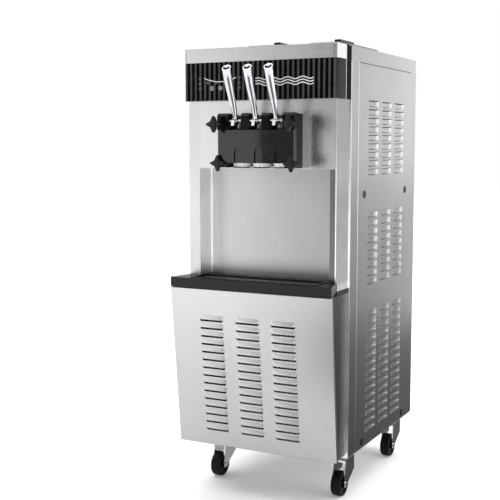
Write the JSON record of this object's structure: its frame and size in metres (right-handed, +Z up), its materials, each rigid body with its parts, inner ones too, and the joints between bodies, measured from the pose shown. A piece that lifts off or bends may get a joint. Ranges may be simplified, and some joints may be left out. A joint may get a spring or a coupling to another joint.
{
  "type": "soft serve machine",
  "caption": "Floor-standing soft serve machine on swivel casters: louvred steel cabinet, black draw head with lever handles, ribbed marquee, drip shelf and lift-off hopper lids.",
  "frame": {"origin": "centre of the bounding box in plan, at the floor under the casters", "axes": "+Z up; the front, with the levers and the drip shelf, faces -Y; +X to the right seen from the front"},
  "size_m": [0.5464, 0.8966, 1.45],
  "materials": {
    "black_matte": "moulded, matt",
    "black_plastic": "moulded, semi-gloss",
    "chrome": "polished",
    "copper": "bare copper",
    "display_glass": "gloss film",
    "fins": "bare fins",
    "galvanised": "dull zinc",
    "key_plastic": "moulded, gloss",
    "painted_black": "satin paint",
    "stainless_dark": "brushed, satin",
    "stainless_panel": "brushed, satin",
    "wheel_rubber": "smooth tread",
    "white_plastic": "moulded, gloss",
    "zinc_plated": "bright zinc"
  },
  "bodies": {
    "cabinet": {"base_chassis": "galvanised", "corner_posts": "stainless_panel", "top_frame": "stainless_panel", "top_deck": "stainless_panel", "side_panel_left": "stainless_panel", "side_panel_right": "stainless_panel", "rear_panel": "galvanised", "panel_caps": "black_matte", "cable_gland": "black_matte", "top_cap": "stainless_panel", "marquee": "black_plastic", "display_module": "display_glass", "front_columns": "stainless_panel", "dispense_panel": "stainless_panel", "bay_liner": "stainless_panel", "drip_shelf": "black_plastic", "lower_front_panel": "stainless_panel", "lower_side_walls": "stainless_dark", "hoppers": "stainless_panel", "freezing_cylinders": "galvanised", "gear_motors": "painted_black", "compressor": "painted_black", "condenser": "fins", "fan_shroud": "painted_black", "electrical_box": "galvanised", "refrigerant_pipes": "copper", "head_body": "black_plastic", "head_cover": "black_plastic", "nozzle_caps": "white_plastic", "nozzle_rings": "black_plastic", "pivot_rod": "chrome", "studs": "zinc_plated", "caster_plates": "zinc_plated"},
    "lever_left": {"lever_left": "chrome"},
    "plunger_left": {"plunger_left": "white_plastic"},
    "lever_centre": {"lever_centre": "chrome"},
    "plunger_centre": {"plunger_centre": "white_plastic"},
    "lever_right": {"lever_right": "chrome"},
    "plunger_right": {"plunger_right": "white_plastic"},
    "knob_top_left": {"knob_top_left": "black_plastic"},
    "knob_top_right": {"knob_top_right": "black_plastic"},
    "knob_bottom_left": {"knob_bottom_left": "black_plastic"},
    "knob_bottom_right": {"knob_bottom_right": "black_plastic"},
    "lid_left": {"lid_left": "black_plastic"},
    "lid_right": {"lid_right": "black_plastic"},
    "drip_tray": {"drip_tray": "black_matte"},
    "drip_grid": {"drip_grid": "stainless_dark"},
    "beater_left": {"beater_left": "white_plastic"},
    "beater_right": {"beater_right": "white_plastic"},
    "fan_blade": {"fan_blade": "black_matte"},
    "key_left": {"key_left": "key_plastic"},
    "key_right": {"key_right": "key_plastic"},
    "fork_front_left": {"fork_front_left": "zinc_plated"},
    "wheel_front_left": {"wheel_front_left": "wheel_rubber"},
    "fork_front_right": {"fork_front_right": "zinc_plated"},
    "wheel_front_right": {"wheel_front_right": "wheel_rubber"},
    "fork_rear_left": {"fork_rear_left": "zinc_plated"},
    "wheel_rear_left": {"wheel_rear_left": "wheel_rubber"},
    "fork_rear_right": {"fork_rear_right": "zinc_plated"},
    "wheel_rear_right": {"wheel_rear_right": "wheel_rubber"}
  },
  "joints": [
    {"name": "lever_left_pull", "type": "hinge", "parent": "cabinet", "child": "lever_left", "pos_m": [-0.039, -0.3817, 1.184], "axis": [1, 0, 0], "range_deg": [0, 45]},
    {"name": "plunger_left_lift", "type": "slide", "parent": "cabinet", "child": "plunger_left", "axis": [0, 0, 1], "range_m": [0, 0.032]},
    {"name": "lever_centre_pull", "type": "hinge", "parent": "cabinet", "child": "lever_centre", "pos_m": [0.029, -0.3817, 1.184], "axis": [1, 0, 0], "range_deg": [0, 45]},
    {"name": "plunger_centre_lift", "type": "slide", "parent": "cabinet", "child": "plunger_centre", "axis": [0, 0, 1], "range_m": [0, 0.032]},
    {"name": "lever_right_pull", "type": "hinge", "parent": "cabinet", "child": "lever_right", "pos_m": [0.097, -0.3817, 1.184], "axis": [1, 0, 0], "range_deg": [0, 45]},
    {"name": "plunger_right_lift", "type": "slide", "parent": "cabinet", "child": "plunger_right", "axis": [0, 0, 1], "range_m": [0, 0.032]},
    {"name": "knob_top_left_turn", "type": "hinge", "parent": "cabinet", "child": "knob_top_left", "pos_m": [-0.0935, -0.4207, 1.173], "axis": [0, 1, 0], "continuous": true},
    {"name": "knob_top_right_turn", "type": "hinge", "parent": "cabinet", "child": "knob_top_right", "pos_m": [0.1515, -0.4207, 1.173], "axis": [0, 1, 0], "continuous": true},
    {"name": "knob_bottom_left_turn", "type": "hinge", "parent": "cabinet", "child": "knob_bottom_left", "pos_m": [-0.0925, -0.3982, 1.057], "axis": [0, 1, 0], "continuous": true},
    {"name": "knob_bottom_right_turn", "type": "hinge", "parent": "cabinet", "child": "knob_bottom_right", "pos_m": [0.1505, -0.3982, 1.057], "axis": [0, 1, 0], "continuous": true},
    {"name": "lid_left_lift", "type": "slide", "parent": "cabinet", "child": "lid_left", "axis": [0, 0, 1], "range_m": [0, 0.12]},
    {"name": "lid_right_lift", "type": "slide", "parent": "cabinet", "child": "lid_right", "axis": [0, 0, 1], "range_m": [0, 0.12]},
    {"name": "drip_tray_lift", "type": "slide", "parent": "cabinet", "child": "drip_tray", "axis": [0, 0, 1], "range_m": [0, 0.09]},
    {"name": "drip_grid_lift", "type": "slide", "parent": "drip_tray", "child": "drip_grid", "axis": [0, 0, 1], "range_m": [0, 0.05]},
    {"name": "beater_left_turn", "type": "hinge", "parent": "cabinet", "child": "beater_left", "pos_m": [-0.033, -0.1167, 1.11], "axis": [0, 1, 0], "continuous": true},
    {"name": "beater_right_turn", "type": "hinge", "parent": "cabinet", "child": "beater_right", "pos_m": [0.091, -0.1167, 1.11], "axis": [0, 1, 0], "continuous": true},
    {"name": "fan_turn", "type": "hinge", "parent": "cabinet", "child": "fan_blade", "pos_m": [0, -0.1037, 0.328], "axis": [0, 1, 0], "continuous": true},
    {"name": "key_left_press", "type": "slide", "parent": "cabinet", "child": "key_left", "axis": [0, 1, 0], "range_m": [0, 0.0012], "stiffness_N_per_m": 400},
    {"name": "key_right_press", "type": "slide", "parent": "cabinet", "child": "key_right", "axis": [0, 1, 0], "range_m": [0, 0.0012], "stiffness_N_per_m": 400},
    {"name": "fork_front_left_swivel", "type": "hinge", "parent": "cabinet", "child": "fork_front_left", "pos_m": [-0.217, -0.1267, 0.112], "axis": [0, 0, 1], "continuous": true},
    {"name": "wheel_front_left_roll", "type": "hinge", "parent": "fork_front_left", "child": "wheel_front_left", "pos_m": [-0.217, -0.1627, 0.04], "axis": [1, 0, 0], "continuous": true},
    {"name": "fork_front_right_swivel", "type": "hinge", "parent": "cabinet", "child": "fork_front_right", "pos_m": [0.217, -0.1267, 0.112], "axis": [0, 0, 1], "continuous": true},
    {"name": "wheel_front_right_roll", "type": "hinge", "parent": "fork_front_right", "child": "wheel_front_right", "pos_m": [0.217, -0.1627, 0.04], "axis": [1, 0, 0], "continuous": true},
    {"name": "fork_rear_left_swivel", "type": "hinge", "parent": "cabinet", "child": "fork_rear_left", "pos_m": [-0.217, 0.3333, 0.112], "axis": [0, 0, 1], "continuous": true},
    {"name": "wheel_rear_left_roll", "type": "hinge", "parent": "fork_rear_left", "child": "wheel_rear_left", "pos_m": [-0.217, 0.2973, 0.04], "axis": [1, 0, 0], "continuous": true},
    {"name": "fork_rear_right_swivel", "type": "hinge", "parent": "cabinet", "child": "fork_rear_right", "pos_m": [0.217, 0.3333, 0.112], "axis": [0, 0, 1], "continuous": true},
    {"name": "wheel_rear_right_roll", "type": "hinge", "parent": "fork_rear_right", "child": "wheel_rear_right", "pos_m": [0.217, 0.2973, 0.04], "axis": [1, 0, 0], "continuous": true}
  ],
  "couplings": [
    {"joint": "plunger_left_lift", "follows": "lever_left_pull", "m_per_rad": 0.0405},
    {"joint": "plunger_centre_lift", "follows": "lever_centre_pull", "m_per_rad": 0.0405},
    {"joint": "plunger_right_lift", "follows": "lever_right_pull", "m_per_rad": 0.0405}
  ]
}
